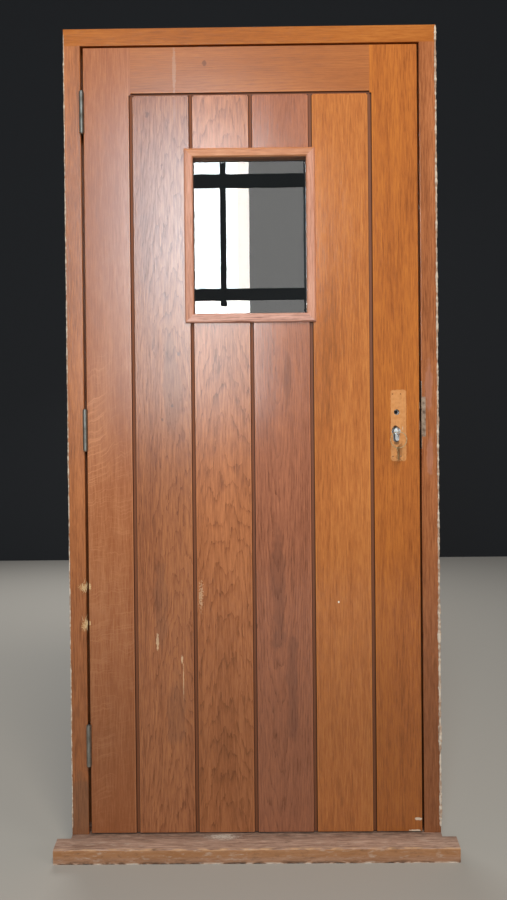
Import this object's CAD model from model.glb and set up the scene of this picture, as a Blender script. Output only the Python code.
"""A boarded oak door in its rebated frame: finishes, small worn detail, light and view."""

import math

import bpy
import numpy as np
from mathutils import Euler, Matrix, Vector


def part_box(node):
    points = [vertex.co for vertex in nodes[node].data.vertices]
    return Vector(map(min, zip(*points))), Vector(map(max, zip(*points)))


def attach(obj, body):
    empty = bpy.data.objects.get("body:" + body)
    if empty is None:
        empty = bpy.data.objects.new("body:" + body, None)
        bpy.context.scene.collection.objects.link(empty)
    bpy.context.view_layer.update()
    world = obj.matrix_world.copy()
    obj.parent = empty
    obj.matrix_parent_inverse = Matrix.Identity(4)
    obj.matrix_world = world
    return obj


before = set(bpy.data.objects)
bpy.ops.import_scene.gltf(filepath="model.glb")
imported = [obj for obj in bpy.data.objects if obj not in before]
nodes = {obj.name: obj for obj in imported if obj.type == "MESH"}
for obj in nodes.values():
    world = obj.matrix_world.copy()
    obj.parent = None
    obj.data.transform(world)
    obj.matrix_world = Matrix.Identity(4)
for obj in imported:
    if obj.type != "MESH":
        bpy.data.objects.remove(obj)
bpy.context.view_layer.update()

# The view. The camera stands square in front of the leaf at half its height, a little over two
# metres off, and leans by about half a degree, as a hand-held picture does.
view_place = (0.0210, -2.2872, 1.0446)
view_lens = 36.06
view_lean = Euler((math.radians(90 - 0.670), math.radians(0.553), math.radians(0.477)), "XYZ")
camera_data = bpy.data.cameras.new("view")
camera_data.sensor_width = 36.0
camera_data.lens = view_lens
camera = bpy.data.objects.new("view", camera_data)
camera.location = view_place
camera.rotation_euler = view_lean
bpy.context.scene.collection.objects.link(camera)
bpy.context.scene.camera = camera
bpy.context.scene.view_settings.view_transform = "Standard"


# The studio. A pale matt floor, a plain dark backdrop far behind, and soft light from large
# panels. The panel high on the left is the bright one that the varnish and the glass mirror.
def linear(code):
    """Turns an sRGB hex colour into Blender's linear one: the sRGB curve undone per channel."""
    value = np.array([int(code[i:i + 2], 16) / 255 for i in (1, 3, 5)])
    curve = np.where(value <= 0.04045, value / 12.92, ((value + 0.055) / 1.055) ** 2.4)
    return (*(float(x) for x in curve), 1.0)


def add(tree, kind, inputs=None, **settings):
    """Adds one node with its settings and links (each input is a value, or a socket to link
    from), and returns its outputs."""
    made = tree.nodes.new(kind)
    for key, value in settings.items():
        setattr(made, key, value)
    for key, value in (inputs or {}).items():
        if isinstance(value, bpy.types.NodeSocket):
            tree.links.new(value, made.inputs[key])
        else:
            made.inputs[key].default_value = value
    return made.outputs


def new_material(name):
    """An empty material: its node tree and its surface shader, joined to the output."""
    material = bpy.data.materials.new(name)
    material.use_nodes = True
    tree = material.node_tree
    tree.nodes.clear()
    surface = add(tree, "ShaderNodeBsdfPrincipled")[0]
    add(tree, "ShaderNodeOutputMaterial", {"Surface": surface})
    return material, tree, surface.node


def flat_grid(name, corner, along_u, along_v):
    """A flat surface: corner + u * along_u + v * along_v, for u and v from 0 to 1."""
    count = 8
    u, v = np.meshgrid(np.linspace(0, 1, count), np.linspace(0, 1, count))
    points = (
        np.array(corner)
        + u.reshape(-1, 1) * np.array(along_u)
        + v.reshape(-1, 1) * np.array(along_v)
    )
    cell = np.arange((count - 1) * count).reshape(count - 1, count)[:, :-1].ravel()
    faces = np.stack([cell, cell + 1, cell + count + 1, cell + count], axis=1)
    mesh = bpy.data.meshes.new(name)
    mesh.from_pydata(points.tolist(), [], faces.tolist())
    made = bpy.data.objects.new(name, mesh)
    bpy.context.scene.collection.objects.link(made)
    return made


room_half, backdrop_y, backdrop_height = 7, 5.6, 9
floor = flat_grid("floor", (-room_half, -room_half, 0), (2 * room_half, 0, 0),
                  (0, 2 * room_half, 0))
floor_paint, tree, shader = new_material("matt_floor_paint")
shader.inputs["Base Color"].default_value = linear("#b4b1ac")
shader.inputs["Roughness"].default_value = 0.8
floor.data.materials.append(floor_paint)
backdrop = flat_grid("backdrop", (-room_half, backdrop_y, -0.1), (2 * room_half, 0, 0),
                     (0, 0, backdrop_height))
backdrop_paint, tree, shader = new_material("matt_backdrop_paint")
shader.inputs["Base Color"].default_value = linear("#2c2e32")
shader.inputs["Roughness"].default_value = 0.9
backdrop.data.materials.append(backdrop_paint)

# Each panel: its name, its place, the point that it faces, width, height, watts, colour, and
# whether the varnish and the glass mirror it.
panels = (
    ("mirrored_upper", (-0.63, -5.2, 2.98), (-0.63, 0.0, 2.98), 0.94, 1.54, 66.0,
     "#b8e6ff", True),
    ("mirrored_lower", (-0.545, -5.2, 1.731), (-0.545, 0.0, 1.731), 0.97, 0.952, 43.0,
     "#d4e2ea", True),
    ("bright_panel", (-0.30, -5.18, 2.715), (-0.30, 0.0, 2.715), 0.48, 1.27, 48.0,
     "#fff6ee", True),
    ("dim_panel", (0.165, -5.18, 2.715), (0.165, 0.0, 2.715), 0.45, 1.27, 5.9,
     "#f8f6f2", True),
    ("high_panel", (0.4, -3.4, 5.0), (0.0, 0.0, 1.2), 1.6, 1.0, 138.0, "#fff0da", False),
    ("right_panel", (3.6, -3.2, 2.2), (0.2, 0.0, 1.0), 1.6, 2.0, 28.0, "#fff4e4", False),
    ("back_panel", (-1.2, 4.8, 3.4), (0.0, 0.0, 1.0), 2.4, 1.6, 110.0, "#fffdf8", False),
)
for name, place, target, width, height, power, colour, mirrored in panels:
    panel_data = bpy.data.lights.new(name, "AREA")
    panel_data.shape = "RECTANGLE"
    panel_data.size = width
    panel_data.size_y = height
    panel_data.energy = power
    panel_data.color = linear(colour)[:3]
    panel = bpy.data.objects.new(name, panel_data)
    aim = np.array(target) - np.array(place)
    panel.location = place
    panel.rotation_euler = (
        math.pi / 2 + math.atan2(aim[2], math.hypot(aim[0], aim[1])),
        0.0,
        math.atan2(-aim[0], aim[1]),
    )
    panel.visible_glossy = mirrored
    panel.visible_transmission = False
    bpy.context.scene.collection.objects.link(panel)

# Three dark slats stand before the mirrored panels, out of the camera's sight, so that the pane
# mirrors a window's bars.
slat_paint, tree, shader = new_material("matt_slat_paint")
shader.inputs["Base Color"].default_value = linear("#33302f")
shader.inputs["Roughness"].default_value = 0.9
for name, corner, size in (
    ("slat_post", (-0.292, -5.0, 2.12), (0.048, 1.16)),
    ("slat_upper", (-0.60, -4.99, 3.069), (1.25, 0.114)),
    ("slat_lower", (-0.60, -4.99, 2.166), (1.25, 0.097)),
):
    slat = flat_grid(name, corner, (size[0], 0, 0), (0, 0, size[1]))
    slat.data.materials.append(slat_paint)
    slat.visible_camera = False
    slat.visible_shadow = False
air = bpy.data.worlds.new("soft_air")
air.use_nodes = True
background = air.node_tree.nodes["Background"]
background.inputs["Color"].default_value = linear("#c9ccd0")
background.inputs["Strength"].default_value = 0.24
bpy.context.scene.world = air


# The frame. Head and jambs are sawn and planed European oak, rebated out of one piece each and
# stained a medium brown under a thin semi-gloss varnish. The head runs over both jambs.
def oak(name, pale, mid, dark, grain="z", pith=(0.0, 0.3), tilt=0.5, ring_mm=3.6, curl=0.016,
        ray=0.0, shift=0.0, roughness=0.21, contrast=1.0, channel="", pooled_middle=0.1,
        grime=0.35):
    """Stained oak. Rings are circles round a pith line that leans by tilt degrees, so a face
    near the pith shows arches and one far from it straight lines. Fibre, pores and clouds are
    noise drawn out along the grain, rays are noise drawn out across it, and stain pools in the
    channels between boards."""
    material, tree, shader = new_material(name)
    place = add(tree, "ShaderNodeTexCoord")["Object"]
    split = add(tree, "ShaderNodeSeparateXYZ", {0: place})
    turn = {"z": (0, 0, 0), "x": (0, math.pi / 2, 0)}[grain]
    along = add(tree, "ShaderNodeMapping", {
        "Vector": place, "Rotation": turn, "Location": (0, 0, shift)})[0]
    # Grains a metre, across and along. Real pores are 0.3 mm wide; these are drawn about 4 mm
    # wide, or they wouldn't show.
    noise = {}
    for part, grains, detail, harsh in (
        ("drift", (16, 16, 3.4), 5.0, 0.55),
        ("fibre", (270, 270, 20), 4.0, 0.7),
        ("dash", (260, 260, 40), 2.0, 0.5),
        ("cloud", (9, 9, 1.6), 3.0, 0.5),
        ("streak", (55, 55, 1.7), 4.0, 0.6),
    ):
        stretched = add(tree, "ShaderNodeMapping", {"Vector": along, "Scale": grains})[0]
        noise[part] = add(tree, "ShaderNodeTexNoise", {
            "Vector": stretched, "Scale": 1.0, "Detail": detail, "Roughness": harsh})
    fibre, cloud = noise["fibre"][0], noise["cloud"][0]
    centred = add(tree, "ShaderNodeMapping", {
        "Vector": along, "Location": (-pith[0], -pith[1], 0),
        "Rotation": (math.radians(tilt), 0, 0)})[0]
    off_centre = add(tree, "ShaderNodeVectorMath", {
        0: noise["drift"]["Color"], 1: (0.5, 0.5, 0.5)}, operation="SUBTRACT")[0]
    wander = add(tree, "ShaderNodeVectorMath", {
        0: off_centre, "Scale": curl}, operation="SCALE")[0]
    warped = add(tree, "ShaderNodeVectorMath", {0: centred, 1: wander})[0]
    wave_mm = 314  # the spacing of the wave texture at scale 1
    rings = add(tree, "ShaderNodeTexWave", {"Vector": warped, "Scale": wave_mm / ring_mm},
                wave_type="RINGS", rings_direction="Z", wave_profile="SAW")[1]
    early = add(tree, "ShaderNodeMapRange", {"Value": rings, "From Min": 0.5})[0]
    dash = add(tree, "ShaderNodeMapRange", {
        "Value": noise["dash"][0], "From Min": 0.5, "From Max": 0.64})[0]
    pore = add(tree, "ShaderNodeMath", {0: early, 1: dash}, operation="MULTIPLY")[0]
    ring_line = add(tree, "ShaderNodeMapRange", {
        "Value": rings, "From Min": 0.80, "From Max": 0.96})[0]
    tone = add(tree, "ShaderNodeMath", {
        0: early, 1: -0.16 * contrast, 2: 0.15 - 1.32 * contrast}, operation="MULTIPLY_ADD")[0]
    for part, share in ((pore, -0.30 * contrast), (ring_line, -0.16 * contrast),
                        (fibre, 1.9 * contrast), (cloud, 0.9),
                        (noise["streak"][0], 0.8 * contrast)):
        tone = add(tree, "ShaderNodeMath", {0: part, 1: share, 2: tone},
                   operation="MULTIPLY_ADD")[0]
    lower_half = add(tree, "ShaderNodeMapRange", {"Value": tone, "From Max": 0.5})[0]
    upper_half = add(tree, "ShaderNodeMapRange", {"Value": tone, "From Min": 0.5})[0]
    colour = add(tree, "ShaderNodeMix", {
        0: lower_half, 6: linear(dark), 7: linear(mid)}, data_type="RGBA")[2]
    colour = add(tree, "ShaderNodeMix", {
        0: upper_half, 6: colour, 7: linear(pale)}, data_type="RGBA")[2]
    if ray:
        # Flecks about 75 mm long and 4 mm thick, nearly level low down and rising steeply at
        # mid height. They fade out above it.
        stile_middle_x = -0.3585
        slope = add(tree, "ShaderNodeMapRange", {
            "Value": split["Z"], "From Min": 0.85, "From Max": 1.1,
            "To Min": -0.12, "To Max": -0.75})[0]
        across = add(tree, "ShaderNodeMath", {0: split["X"], 1: -stile_middle_x})[0]
        risen = add(tree, "ShaderNodeMath", {0: across, 1: slope, 2: split["Z"]},
                    operation="MULTIPLY_ADD")[0]
        leaning = add(tree, "ShaderNodeCombineXYZ", {0: across, 2: risen})[0]
        bend = add(tree, "ShaderNodeVectorMath", {
            0: off_centre, "Scale": 0.07}, operation="SCALE")[0]
        bent = add(tree, "ShaderNodeVectorMath", {0: leaning, 1: bend})[0]
        drawn = add(tree, "ShaderNodeMapping", {"Vector": bent, "Scale": (13, 13, 270)})[0]
        fleck = add(tree, "ShaderNodeTexNoise", {
            "Vector": drawn, "Scale": 1.0, "Detail": 1.5})[0]
        fleck = add(tree, "ShaderNodeMapRange", {
            "Value": fleck, "From Min": 0.54, "From Max": 0.7})[0]
        band = add(tree, "ShaderNodeMapRange", {
            "Value": cloud, "From Min": 0.42, "From Max": 0.6, "To Min": 0.15})[0]
        fade = add(tree, "ShaderNodeMapRange", {
            "Value": split["Z"], "From Min": 1.3, "From Max": 1.1,
            "To Min": 0.1, "To Max": ray})[0]
        calm = add(tree, "ShaderNodeMapRange", {
            "Value": split["Z"], "From Min": 0.75, "From Max": 1.0, "To Min": 0.5})[0]
        for part in (band, fade, calm):
            fleck = add(tree, "ShaderNodeMath", {0: fleck, 1: part}, operation="MULTIPLY")[0]
        colour = add(tree, "ShaderNodeMix", {
            0: fleck, 6: colour, 7: linear(pale)}, data_type="RGBA")[2]
    matt = 0.0
    if channel:
        # The joints lie 150 mm apart across the boards, and one runs under the top rail. The
        # channel along a joint is 10 mm wide, and its floor is 5 mm behind the face.
        first_joint_x, joint_spacing, rail_joint_z = -0.299, 0.150, 1.912
        beside = {"x": (split["X"], -first_joint_x, joint_spacing / 2, "PINGPONG"),
                  "z": (split["Z"], -rail_joint_z, 0.0, "ABSOLUTE")}[channel]
        from_joint = add(tree, "ShaderNodeMath", {0: beside[0], 1: beside[1]})[0]
        near = add(tree, "ShaderNodeMath", {0: from_joint, 1: beside[2]}, operation=beside[3])[0]
        matt = add(tree, "ShaderNodeMapRange", {
            "Value": near, "From Min": 0.0075, "From Max": 0.0065})[0]
        below_face, above_floor = (-0.0139, -0.0130), (-0.0086, -0.0088)
        for low, high in (below_face, above_floor):
            sunk = add(tree, "ShaderNodeMapRange", {
                "Value": split["Y"], "From Min": low, "From Max": high})[0]
            matt = add(tree, "ShaderNodeMath", {0: matt, 1: sunk}, operation="MULTIPLY")[0]
        depth = add(tree, "ShaderNodeMapRange", {
            "Value": near, "From Min": 0.0022, "From Max": 0.0038,
            "To Min": pooled_middle, "To Max": 0.75})[0]
        for share, code in ((0.85, "#7c4016"), (depth, "#3d1a08")):
            pooled = add(tree, "ShaderNodeMath", {0: matt, 1: share}, operation="MULTIPLY")[0]
            colour = add(tree, "ShaderNodeMix", {
                0: pooled, 6: colour, 7: linear(code)}, data_type="RGBA")[2]
        # The arris on either side of a channel, 5 to 8 mm from the joint, is rubbed paler.
        rubbed_arris = 0.45
        for value, low, high in ((near, 0.0049, 0.0054), (near, 0.0088, 0.0066),
                                 (split["Y"], -0.0138, -0.01395)):
            edge = add(tree, "ShaderNodeMapRange", {
                "Value": value, "From Min": low, "From Max": high})[0]
            rubbed_arris = add(tree, "ShaderNodeMath", {
                0: rubbed_arris, 1: edge}, operation="MULTIPLY")[0]
        colour = add(tree, "ShaderNodeMix", {
            0: rubbed_arris, 6: colour, 7: linear(pale)}, data_type="RGBA")[2]
    # Dirt thrown up from the ground: none above 0.92 m, most below 0.30 m.
    low_down = add(tree, "ShaderNodeMapRange", {
        "Value": split["Z"], "From Min": 0.92, "From Max": 0.30, "To Max": grime})[0]
    uneven = add(tree, "ShaderNodeMapRange", {
        "Value": cloud, "From Min": 0.2, "From Max": 0.75, "To Min": 0.75, "To Max": 1.2})[0]
    dirt = add(tree, "ShaderNodeMath", {0: low_down, 1: uneven}, operation="MULTIPLY")[0]
    colour = add(tree, "ShaderNodeMix", {
        0: dirt, 6: colour, 7: linear("#4d2a14")}, data_type="RGBA")[2]
    tree.links.new(colour, shader.inputs["Base Color"])
    gloss = add(tree, "ShaderNodeMapRange", {
        "Value": fibre, "From Min": 0.2, "From Max": 0.8,
        "To Min": 1.25 * roughness, "To Max": 0.85 * roughness})[0]
    gloss = add(tree, "ShaderNodeMath", {0: matt, 1: 0.4, 2: gloss}, operation="MULTIPLY_ADD")[0]
    tree.links.new(gloss, shader.inputs["Roughness"])
    bump = add(tree, "ShaderNodeBump", {
        "Height": tone, "Strength": 0.3, "Distance": 0.0002})[0]
    tree.links.new(bump, shader.inputs["Normal"])
    shader.inputs["IOR"].default_value = 1.5
    return material


def spots(tree, places, ragged=0.7, grit=140.0, y=-0.014):
    """1 inside any of the ellipsoids and 0 outside, with an edge that noise breaks. A place is
    the centre's x and z, and the half sizes along X, Y and Z. The centres lie on the plane y,
    which is the leaf's front face unless given."""
    place = add(tree, "ShaderNodeTexCoord")["Object"]
    broken = add(tree, "ShaderNodeTexNoise", {
        "Vector": place, "Scale": grit, "Detail": 4.0})[0]
    mask = 0.0
    for x, z, *half in places:
        local = add(tree, "ShaderNodeMapping", {
            "Vector": place, "Scale": [1 / h for h in half],
            "Location": [-c / h for c, h in zip((x, y, z), half)]})[0]
        away = add(tree, "ShaderNodeVectorMath", {0: local}, operation="LENGTH")[1]
        frayed = add(tree, "ShaderNodeMath", {0: broken, 1: 2 * ragged, 2: away},
                     operation="MULTIPLY_ADD")[0]
        one = add(tree, "ShaderNodeMapRange", {
            "Value": frayed, "From Min": 1.0 + ragged, "From Max": 0.7 + ragged})[0]
        mask = add(tree, "ShaderNodeMath", {0: mask, 1: one}, operation="MAXIMUM")[0]
    return mask


def lay_over(material, mask, code, share=1.0):
    """Lays a colour over what a material shows, where the mask is 1."""
    tree = material.node_tree
    shader = tree.nodes["Principled BSDF"]
    below = shader.inputs["Base Color"].links[0].from_socket
    part = add(tree, "ShaderNodeMath", {0: mask, 1: share}, operation="MULTIPLY")[0]
    laid = add(tree, "ShaderNodeMix", {0: part, 6: below, 7: linear(code)},
               data_type="RGBA")[2]
    tree.links.new(laid, shader.inputs["Base Color"])


def mark(material, code, share, places, *edge):
    """Lays a colour over the spots at the places; edge is what else spots takes, in its order."""
    lay_over(material, spots(material.node_tree, places, *edge), code, share)


def dress(material, *names):
    """Gives CAD nodes one finish."""
    for name in names:
        nodes[name].data.materials.clear()
        nodes[name].data.materials.append(material)


head_oak = oak("stained_oak_head", "#c27838", "#ac6228", "#84491d", grain="x",
               pith=(0.2, 0.05), shift=2.3, contrast=0.7, roughness=0.16, grime=0.0)
dress(head_oak, "head")
hinge_jamb_oak = oak("stained_oak_hinge_jamb", "#c67d4c", "#ab663a", "#824a26",
                     pith=(-0.7, 0.05), shift=0.4, grime=0.42)
mark(hinge_jamb_oak, "#d6ac78", 0.7, (
    (-0.420, 0.6780, 0.007, 0.009, 0.010), (-0.421, 0.5860, 0.006, 0.009, 0.012),
    (-0.433, 0.6740, 0.010, 0.006, 0.008), (-0.430, 0.5760, 0.007, 0.006, 0.009),
), 2.2, 420.0)
mark(hinge_jamb_oak, "#5e4838", 0.4, ((-0.444, 0.10, 0.030, 0.03, 0.13),), 0.8, 18.0)
dress(hinge_jamb_oak, "hinge_jamb")
lock_jamb_oak = oak("stained_oak_lock_jamb", "#bf784c", "#a26039", "#774324",
                    pith=(0.72, 0.08), shift=1.7, roughness=0.14, grime=0.5)
mark(lock_jamb_oak, "#bd8a7a", 0.3, (
    (0.444, 1.175, 0.011, 0.005, 0.070), (0.446, 1.000, 0.010, 0.005, 0.060),
), 0.5, 60.0)
dress(lock_jamb_oak, "lock_jamb")


# The bedding mastic. Dried off-white sealant that was run between the frame and a wall, torn
# away and left as a ragged bead along the outer front edges of both jambs.
def ragged_bead(name, x, z0, z1, thickness, seed):
    """A tube along Z about the arris at x: its radius and its offset are sums of sines of z
    with random phases, so it swells and thins. It narrows to a small flat cap at both ends."""
    draw = np.random.default_rng(seed)
    row_step, end_length, arris_y = 0.0025, 0.006, -0.0136
    rows, ring = int((z1 - z0) / row_step) + 12, 9
    z, turn = np.meshgrid(np.linspace(z0, z1, rows), np.arange(ring) * 2 * np.pi / ring,
                          indexing="ij")
    waves = 2 * np.pi * z[..., None] / np.array([0.31, 0.127, 0.061, 0.033, 0.017, 0.009])
    phases = draw.uniform(0, 2 * np.pi, (2, 6))
    swell = (np.sin(waves + phases[0]) * [0.16, 0.14, 0.13, 0.14, 0.12, 0.10]).sum(-1)
    shift = (np.sin(waves * 1.3 + phases[1]) * [0.3, 0.3, 0.3, 0.2, 0.2, 0.1]).sum(-1)
    taper = np.clip(np.minimum(z - z0, z1 - z) / end_length, 0.04, 1) ** 0.5
    radius = thickness * np.clip(0.9 + swell, 0.35, 2.2) * taper
    side = np.sign(x)
    points = np.stack([
        x - side * 0.0006 + side * (radius * np.cos(turn) + 0.0005 * shift),
        arris_y - radius * np.sin(turn) * 0.8 + 0.0003 * shift,
        z,
    ], axis=-1)
    row, column = np.meshgrid(np.arange(rows - 1), np.arange(ring), indexing="ij")
    following = (column + 1) % ring
    walls = np.stack([row * ring + column, row * ring + following,
                      (row + 1) * ring + following, (row + 1) * ring + column], axis=-1)
    caps = np.stack([np.arange(ring)[::-1], np.arange(ring) + (rows - 1) * ring])
    if side > 0:
        walls, caps = walls[..., ::-1], caps[..., ::-1]
    mesh = bpy.data.meshes.new(name)
    mesh.from_pydata(points.reshape(-1, 3).tolist(), [],
                     walls.reshape(-1, 4).tolist() + caps.tolist())
    mesh.validate()
    made = bpy.data.objects.new(name, mesh)
    bpy.context.scene.collection.objects.link(made)
    return made


mastic, tree, shader = new_material("dried_mastic")
patch = add(tree, "ShaderNodeTexNoise", {
    "Vector": add(tree, "ShaderNodeTexCoord")["Object"],
    "Scale": 90.0, "Detail": 4.0})[0]
tree.links.new(add(tree, "ShaderNodeMix", {
    0: add(tree, "ShaderNodeMapRange", {
        "Value": patch, "From Min": 0.4, "From Max": 0.6})[0],
    6: linear("#a98a74"), 7: linear("#d6c6b4")}, data_type="RGBA")[2],
    shader.inputs["Base Color"])
shader.inputs["Roughness"].default_value = 0.8
for name, x, span, thickness, seed in (
    ("mastic_bead_hinge_side", -0.467, (0.060, 2.076), 0.0015, 11),
    ("mastic_bead_lock_side", 0.467, (0.060, 2.076), 0.0025, 5),
    ("mastic_lump_corner", 0.467, (2.044, 2.0785), 0.0036, 3),
    ("mastic_lump_low", 0.467, (0.250, 0.640), 0.0036, 8),
    ("mastic_lump_foot", 0.467, (0.075, 0.150), 0.0034, 21),
):
    bead = ragged_bead(name, x, *span, thickness, seed)
    bead.data.materials.append(mastic)
    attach(bead, "frame")


# The torn fibres. Two places where the hinge jamb's edge was levered: pale slivers of bare oak
# still hold at one end and stand up a millimetre or so from the face.
def slivers(name, middle, spread, count, seed):
    """Tapered three-sided slivers. Along each, s from 0 to 1: width and thickness shrink as
    1 - s, and the sliver lifts from the face as s squared. One that would reach past the
    jamb's inner edge is moved back on to it, clear of the leaf."""
    draw = np.random.default_rng(seed)
    rows, foot_y, half_hinge_gap = 7, -0.0139, 0.0035
    corners = 3 * rows
    s = np.linspace(0, 1, rows)[None, :, None]
    start = np.stack([draw.normal(middle[0], spread[0], count), np.full(count, foot_y),
                      draw.normal(middle[1], spread[1], count)], axis=-1)[:, None, None, :]
    heading = draw.uniform(-0.5, 0.5, count) + np.pi * draw.integers(0, 2, count)
    length = draw.uniform(0.005, 0.018, count)[:, None, None]
    half = draw.uniform(0.0004, 0.0012, count)[:, None, None]
    lift = draw.uniform(0.0004, 0.0018, count)[:, None, None]
    run_x, run_z = np.sin(heading)[:, None, None], np.cos(heading)[:, None, None]
    side = np.array([-1.0, 1.0, 0.0])[None, None, :] * half * (1.02 - s)
    rise = np.array([0.0, 0.0, 0.7])[None, None, :] * half * (1.02 - s) + lift * s**2
    points = start + np.stack([
        length * s * run_x + side * run_z, -rise, length * s * run_z - side * run_x], axis=-1)
    jamb_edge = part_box("hinge_stile")[0][0] - half_hinge_gap
    furthest = points[..., 0].max(axis=(1, 2), keepdims=True)
    points[..., 0] -= np.maximum(furthest - jamb_edge, 0)
    piece, row, column = np.meshgrid(np.arange(count), np.arange(rows - 1), np.arange(3),
                                     indexing="ij")
    base, following = piece * corners + row * 3, (column + 1) % 3
    walls = np.stack([base + 3 + column, base + 3 + following, base + following,
                      base + column], axis=-1).reshape(-1, 4)
    ends = np.arange(count)[:, None] * corners
    caps = np.concatenate([ends + [0, 1, 2], ends + [corners - 1, corners - 2, corners - 3]])
    mesh = bpy.data.meshes.new(name)
    mesh.from_pydata(points.reshape(-1, 3).tolist(), [], walls.tolist() + caps.tolist())
    mesh.validate()
    made = bpy.data.objects.new(name, mesh)
    bpy.context.scene.collection.objects.link(made)
    return made


bare_oak, tree, shader = new_material("bare_torn_oak")
strand = add(tree, "ShaderNodeTexNoise", {
    "Vector": add(tree, "ShaderNodeMapping", {
        "Vector": add(tree, "ShaderNodeTexCoord")["Object"],
        "Scale": (900, 900, 60)})[0], "Scale": 1.0, "Detail": 2.0})[0]
tree.links.new(add(tree, "ShaderNodeMix", {
    0: strand, 6: linear("#b98f5e"), 7: linear("#f0d6a8")}, data_type="RGBA")[2],
    shader.inputs["Base Color"])
shader.inputs["Roughness"].default_value = 0.75
for name, middle, seed in (
    ("torn_fibres_upper", (-0.427, 0.676), 4), ("torn_fibres_lower", (-0.426, 0.584), 9),
):
    torn_fibres = slivers(name, middle, (0.0045, 0.007), 24, seed)
    torn_fibres.data.materials.append(bare_oak)
    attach(torn_fibres, "frame")

# The sill. The same oak, weathered by feet and rain: greyer, drier, with dirt in its pores and
# its arrises rubbed pale.
sill_oak = oak("weathered_oak_sill", "#cfae9c", "#aa8a79", "#79594a", grain="x",
               pith=(0.02, 0.3), shift=4.1, roughness=0.6, contrast=1.2, grime=0.0)
tree = sill_oak.node_tree
place = add(tree, "ShaderNodeTexCoord")["Object"]
split = add(tree, "ShaderNodeSeparateXYZ", {0: place})
front = add(tree, "ShaderNodeMapRange", {
    "Value": split["Y"], "From Min": -0.0785, "From Max": -0.0797, "To Max": 0.75})[0]
lay_over(sill_oak, front, "#9c6a44")
frayed = add(tree, "ShaderNodeTexNoise", {
    "Vector": add(tree, "ShaderNodeMapping", {
        "Vector": place, "Scale": (28, 90, 90)})[0], "Scale": 1.0, "Detail": 5.0})[0]
# Along the nose: the rubbed upper arris, the dirty foot, and chips in its lower edge. Each has
# the heights and the noise between which it sets in, and its colour.
for low, high, bare, worn, code in ((0.030, 0.0355, 0.47, 0.6, "#d2a983"),
                                    (0.0085, 0.0, 0.52, 0.40, "#38281f"),
                                    (0.0045, 0.0, 0.47, 0.6, "#d8cbbd")):
    edge = add(tree, "ShaderNodeMath", {
        0: add(tree, "ShaderNodeMapRange", {
            "Value": split["Z"], "From Min": low, "From Max": high})[0],
        1: add(tree, "ShaderNodeMapRange", {
            "Value": frayed, "From Min": bare, "From Max": worn})[0]},
        operation="MULTIPLY")[0]
    edge = add(tree, "ShaderNodeMath", {
        0: edge, 1: add(tree, "ShaderNodeMapRange", {
            "Value": split["Y"], "From Min": -0.072, "From Max": -0.076})[0]},
        operation="MULTIPLY")[0]
    lay_over(sill_oak, edge, code)
upper_band = add(tree, "ShaderNodeMapRange", {
    "Value": split["Z"], "From Min": 0.012, "From Max": 0.020})[0]
upper_band = add(tree, "ShaderNodeMath", {0: upper_band, 1: front}, operation="MULTIPLY")[0]
lay_over(sill_oak, upper_band, "#a8703c", 0.6)
smudge = add(tree, "ShaderNodeTexNoise", {
    "Vector": add(tree, "ShaderNodeMapping", {
        "Vector": place, "Scale": (30, 110, 110)})[0], "Scale": 1.0, "Detail": 6.0,
    "Roughness": 0.7})[0]
for low, high, code, share in ((0.56, 0.70, "#cdbcae", 0.5), (0.44, 0.30, "#4f3a2c", 0.6)):
    lay_over(sill_oak, add(tree, "ShaderNodeMapRange", {
        "Value": smudge, "From Min": low, "From Max": high})[0], code, share)
swept_dirt = add(tree, "ShaderNodeMath", {
    0: add(tree, "ShaderNodeMapRange", {
        "Value": split["Y"], "From Min": -0.050, "From Max": -0.018})[0],
    1: add(tree, "ShaderNodeMapRange", {
        "Value": smudge, "From Min": 0.38, "From Max": 0.62})[0]}, operation="MULTIPLY")[0]
lay_over(sill_oak, swept_dirt, "#4d3a30", 0.75)
# Specks of plaster at the foot of board 2.
mark(sill_oak, "#e6ddd2", 0.75, ((-0.086, 0.050, 0.036, 0.012, 0.012),), 2.6, 520.0, -0.028)
dress(sill_oak, "sill")

# The leaf's framing. Straight-grained oak stiles over the full height, with the top rail
# tenoned between them. The hinge stile is quarter sawn, so pale rays cross its grain.
hinge_stile_oak = oak("stained_oak_hinge_stile", "#cc885c", "#a66036", "#8a4e28",
                      pith=(-0.75, 0.02), ray=1.1, shift=0.9, contrast=0.5, channel="x",
                      grime=0.42)
mark(hinge_stile_oak, "#e3c08c", 0.8, (
    (-0.4165, 0.676, 0.004, 0.006, 0.008), (-0.4165, 0.584, 0.003, 0.006, 0.006),
), 1.6, 420.0)
dress(hinge_stile_oak, "hinge_stile")
lock_stile_oak = oak("stained_oak_lock_stile", "#ca7a36", "#b46730", "#8c4d22", pith=(0.8, 0.1),
                     shift=3.3, roughness=0.12, channel="x", pooled_middle=0.3, grime=0.42)
tree = lock_stile_oak.node_tree

# The mark of the old handle plate: cleaner wood under a rounded rectangle of 38 by 179 mm, with
# a browned smear where keys have swung against it.
plate_middle, plate_half, plate_corner = (0.3675, 0.0, 1.0765), (0.0195, 0.0895), 0.007
edge_wander = 0.006
from_middle = add(tree, "ShaderNodeMapping", {
    "Vector": add(tree, "ShaderNodeTexCoord")["Object"],
    "Location": [-v for v in plate_middle], "Scale": (1, 0, 1)})[0]
outside = add(tree, "ShaderNodeVectorMath", {
    0: add(tree, "ShaderNodeVectorMath", {0: from_middle}, operation="ABSOLUTE")[0],
    1: (plate_half[0] - plate_corner, 0, plate_half[1] - plate_corner)},
    operation="SUBTRACT")[0]
reach = add(tree, "ShaderNodeVectorMath", {
    0: add(tree, "ShaderNodeVectorMath", {0: outside, 1: (0, 0, 0)},
           operation="MAXIMUM")[0]}, operation="LENGTH")[1]
worn_edge = add(tree, "ShaderNodeTexNoise", {
    "Vector": add(tree, "ShaderNodeTexCoord")["Object"], "Scale": 130.0, "Detail": 4.0})[0]
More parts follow.
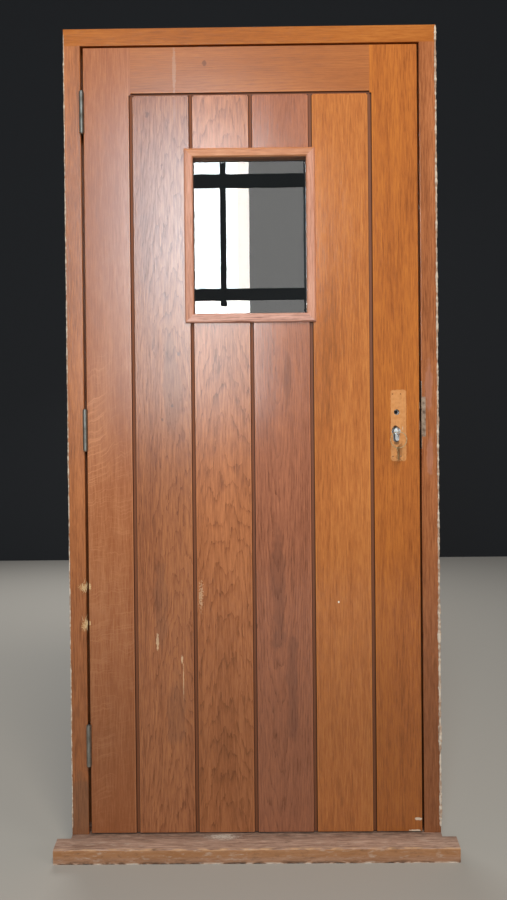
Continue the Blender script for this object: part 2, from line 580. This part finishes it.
reach = add(tree, "ShaderNodeMath", {0: worn_edge, 1: edge_wander, 2: reach},
            operation="MULTIPLY_ADD")[0]
ghost = add(tree, "ShaderNodeMapRange", {
    "Value": reach, "From Min": plate_corner + 0.7 * edge_wander,
    "From Max": plate_corner + 0.3 * edge_wander, "To Max": 0.72})[0]
depth_y = add(tree, "ShaderNodeSeparateXYZ", {
    0: add(tree, "ShaderNodeTexCoord")["Object"]})["Y"]
on_front = add(tree, "ShaderNodeMapRange", {
    "Value": depth_y, "From Min": -0.0120, "From Max": -0.0132})[0]
ghost = add(tree, "ShaderNodeMath", {
    0: ghost, 1: add(tree, "ShaderNodeMapRange", {
        "Value": worn_edge, "From Min": 0.3, "From Max": 0.6, "To Min": 0.65})[0]},
    operation="MULTIPLY")[0]
ghost = add(tree, "ShaderNodeMath", {0: ghost, 1: on_front}, operation="MULTIPLY")[0]
lay_over(lock_stile_oak, ghost, "#e8a86d")
# A dark crescent round the lock's cylinder, above and left of it, a brown patch just below it,
# the smear of the keys, and pale chips beside the cylinder and at the stile's foot.
mark(lock_stile_oak, "#2a1d15", 0.95, ((0.3595, 1.0665, 0.0095, 0.006, 0.0115),), 0.25)
mark(lock_stile_oak, "#5f4028", 0.6, ((0.3630, 1.0330, 0.0080, 0.006, 0.0060),), 0.4)
mark(lock_stile_oak, "#6e4426", 0.45, (
    (0.3680, 1.004, 0.009, 0.006, 0.020), (0.3730, 1.022, 0.005, 0.006, 0.012),
), 1.1)
mark(lock_stile_oak, "#dccbb4", 0.75, (
    (0.3777, 1.0698, 0.0012, 0.006, 0.006), (0.4028, 0.0518, 0.019, 0.006, 0.0025),
    (0.4105, 0.0803, 0.009, 0.006, 0.004),
), 1.0)
dress(lock_stile_oak, "lock_stile")
top_rail_oak = oak("stained_oak_top_rail", "#c27a44", "#aa6434", "#884d26", grain="x",
                   pith=(1.7, 0.3), shift=5.2, contrast=0.55, channel="z")
mark(top_rail_oak, "#c9ac98", 0.3, ((-0.1888, 1.975, 0.005, 0.006, 0.065),))
mark(top_rail_oak, "#5f3218", 0.6, ((-0.1128, 1.9906, 0.006, 0.006, 0.008),))
dress(top_rail_oak, "top_rail")

# The boards. Four tongued and grooved oak boards, each from its own plank: two straight
# grained at the sides, the second crown cut so that its rings arch, the third darker and
# redder. They have small knots, clouds in the stain, scrapes and one splash of paint.
board_1_oak = oak("stained_oak_board_1", "#bc784c", "#9f603c", "#7b4527", pith=(-0.19, 0.05),
                  tilt=2.2, curl=0.03, shift=1.1, contrast=0.95, channel="x", grime=0.26)
mark(board_1_oak, "#dcb892", 0.75, (
    (-0.2455, 0.536, 0.004, 0.006, 0.022), (-0.1839, 0.491, 0.003, 0.006, 0.011),
    (-0.1808, 0.434, 0.0011, 0.006, 0.046),
))
mark(board_1_oak, "#a3705a", 0.4, ((-0.1888, 1.875, 0.004, 0.006, 0.036),))
mark(board_1_oak, "#5f3218", 0.55, ((-0.2574, 1.8624, 0.006, 0.006, 0.008),))
mark(board_1_oak, "#4f3830", 0.55, (
    (-0.1846, 1.2615, 0.0035, 0.006, 0.006), (-0.2022, 1.132, 0.0035, 0.006, 0.006),
    (-0.2273, 1.0967, 0.0030, 0.006, 0.005),
))
mark(board_1_oak, "#5c4034", 0.22, (
    (-0.205, 1.19, 0.024, 0.02, 0.15), (-0.235, 0.62, 0.020, 0.02, 0.14),
    (-0.200, 0.36, 0.026, 0.02, 0.10),
), 1.0, 14.0)
dress(board_1_oak, "board_1")
board_2_oak = oak("stained_oak_board_2", "#ca7f50", "#ab663c", "#804825", pith=(-0.07, 0.05),
                  tilt=3.2, ring_mm=4.6, curl=0.03, shift=2.9, contrast=0.95, channel="x",
                  grime=0.42)
mark(board_2_oak, "#dcb892", 0.5, ((-0.134, 0.6515, 0.005, 0.006, 0.030),), 2.4, 300.0)
dress(board_2_oak, "board_2_upper", "board_2_lower")
board_3_oak = oak("stained_oak_board_3", "#c07a58", "#a3654a", "#78462e", pith=(0.06, 0.07),
                  tilt=-2.4, ring_mm=4.4, curl=0.024, shift=0.2, contrast=0.8,
                  roughness=0.15, channel="x", grime=0.42)
mark(board_3_oak, "#4f2a18", 0.5, ((0.004, 0.5732, 0.006, 0.006, 0.009),))
mark(board_3_oak, "#4c302a", 0.3, (
    (0.088, 1.19, 0.014, 0.02, 0.10), (0.060, 0.66, 0.022, 0.02, 0.16),
    (0.095, 0.40, 0.018, 0.02, 0.14),
), 1.0, 14.0)
dress(board_3_oak, "board_3_upper", "board_3_lower")
board_4_oak = oak("stained_oak_board_4", "#d28648", "#bc6f3a", "#95582d", pith=(0.7, 0.04),
                  shift=4.6, roughness=0.11, channel="x", pooled_middle=0.3, grime=0.36)
mark(board_4_oak, "#f0ead9", 1.0, ((0.2134, 0.6322, 0.0024, 0.006, 0.0030),), 0.2)
dress(board_4_oak, "board_4")

# The ledges and brace. Planed oak, tenoned into the stiles and fixed behind the boards, and
# stained like the face but less handled.
dress(oak("stained_oak_ledges", "#b57646", "#9b6038", "#774523", grain="x", pith=(0.9, 0.25),
          shift=6.3), "middle_ledge", "bottom_ledge", "brace")

# The window's lining and beads. An open-pored, pinker wood that took the stain differently;
# the beads are mitred at the corners and stand proud of the boards.
dress(oak("stained_lining", "#a8673f", "#8f5434", "#6a3b22", pith=(0.3, 0.2), shift=1.9),
      "lining_left", "lining_right", "lining_head", "lining_foot")
dress(oak("open_pored_bead_upright", "#dc9f84", "#c68466", "#965840", pith=(0.5, 0.1),
          ring_mm=3.0, shift=2.2, roughness=0.45),
      "front_bead_left", "front_bead_right", "back_bead_left", "back_bead_right")
dress(oak("open_pored_bead_across", "#d8956a", "#c17b50", "#965435", grain="x", pith=(1.5, 0.1),
          ring_mm=3.0, shift=3.2, roughness=0.45), "front_bead_head", "back_bead_head")
dress(oak("open_pored_bead_foot", "#e8b5a4", "#d9a08c", "#96604e", grain="x", pith=(1.5, 0.1),
          ring_mm=3.0, shift=3.9, roughness=0.45), "front_bead_foot", "back_bead_foot")

# The pane. Clear float glass, 6 mm, held between the beads, with the faint green of its iron
# and clean polished faces.
pane, tree, shader = new_material("clear_float_glass")
shader.inputs["Base Color"].default_value = linear("#eef4f1")
shader.inputs["Roughness"].default_value = 0.0
shader.inputs["IOR"].default_value = 1.52
shader.inputs["Transmission Weight"].default_value = 1.0
dress(pane, "glass")


# The hinges. Rolled mild steel butts with turned screws, their zinc grey gone dull, and brown
# stain where the film has worn.
def worn_metal(name, clean, dull, roughness, patch_mm=6.0, stain="#6b4a33", stained=0.25):
    """Metal whose film dulls in soft patches of patch_mm, with brown stain in the lowest."""
    material, tree, shader = new_material(name)
    place = add(tree, "ShaderNodeTexCoord")["Object"]
    patch = add(tree, "ShaderNodeTexNoise", {
        "Vector": place, "Scale": 1000 / patch_mm, "Detail": 4.0})[0]
    body = add(tree, "ShaderNodeMix", {
        0: add(tree, "ShaderNodeMapRange", {
            "Value": patch, "From Min": 0.35, "From Max": 0.65})[0],
        6: linear(dull), 7: linear(clean)}, data_type="RGBA")[2]
    colour = add(tree, "ShaderNodeMix", {
        0: add(tree, "ShaderNodeMapRange", {
            "Value": patch, "From Min": 0.42, "From Max": 0.3, "To Max": stained})[0],
        6: body, 7: linear(stain)}, data_type="RGBA")[2]
    tree.links.new(colour, shader.inputs["Base Color"])
    shader.inputs["Metallic"].default_value = 1.0
    tree.links.new(add(tree, "ShaderNodeMapRange", {
        "Value": patch, "To Min": roughness + 0.15, "To Max": roughness - 0.1})[0],
        shader.inputs["Roughness"])
    return material


dress(worn_metal("dull_rolled_steel", "#a8a297", "#8c867b", 0.5, 22.0),
      *(f"{part}_{place}" for part in ("jamb_flap", "door_flap", "hinge_pin")
        for place in ("top", "middle", "bottom")))
dress(worn_metal("turned_screw_steel", "#b4b2ae", "#8a8782", 0.38, 2.0),
      "jamb_flap_screws", "door_flap_screws", "keep_screws", "forend_screws", "cylinder_screw")

# The mortice lock. A folded and pressed steel case and forend, let into the lock stile's edge,
# with cast brass bolts.
dress(worn_metal("folded_lock_steel", "#a3a3a0", "#7c7c79", 0.42),
      "lock_case", "lock_cover", "forend", "follower")
dress(worn_metal("cast_bolt_brass", "#c9a862", "#9f8247", 0.35, stain="#5d4a2c"),
      "latch_bolt", "dead_bolt")

# The keep. Pressed steel, its grey film browned in streaks by the wood's stain and the weather,
# and black with dirt behind the lip, where neither cloth nor bolt reaches.
keep_steel = worn_metal("weathered_keep_steel", "#c9ab92", "#a48671", 0.6, 9.0, stain="#7b5a43",
                        stained=0.6)
tree = keep_steel.node_tree
depth_y = add(tree, "ShaderNodeSeparateXYZ", {
    0: add(tree, "ShaderNodeTexCoord")["Object"]})["Y"]
behind_lip = add(tree, "ShaderNodeMapRange", {
    "Value": depth_y, "From Min": -0.0136, "From Max": -0.0128})[0]
grime = add(tree, "ShaderNodeMapRange", {
    "Value": depth_y, "From Min": 0.004, "From Max": -0.006, "To Min": 0.15, "To Max": 0.9})[0]
grime = add(tree, "ShaderNodeMath", {0: behind_lip, 1: grime}, operation="MULTIPLY")[0]
lay_over(keep_steel, grime, "#241f1b")
dress(keep_steel, "keep")

# The cylinder and its keys. Nickel plated brass, bright where it is turned, with a spare key
# of bare brass browned by hands.
dress(worn_metal("nickel_plate", "#e6e3df", "#c9c5bf", 0.33, 3.0, stained=0.08),
      "cylinder_body", "plug", "plug_rear", "cam", "key")
dress(worn_metal("handled_brass", "#ecd3a0", "#c4a672", 0.5, 3.0), "spare_key")
dress(worn_metal("browned_ring_steel", "#dcbf96", "#b5956b", 0.6, 3.0), "key_ring")
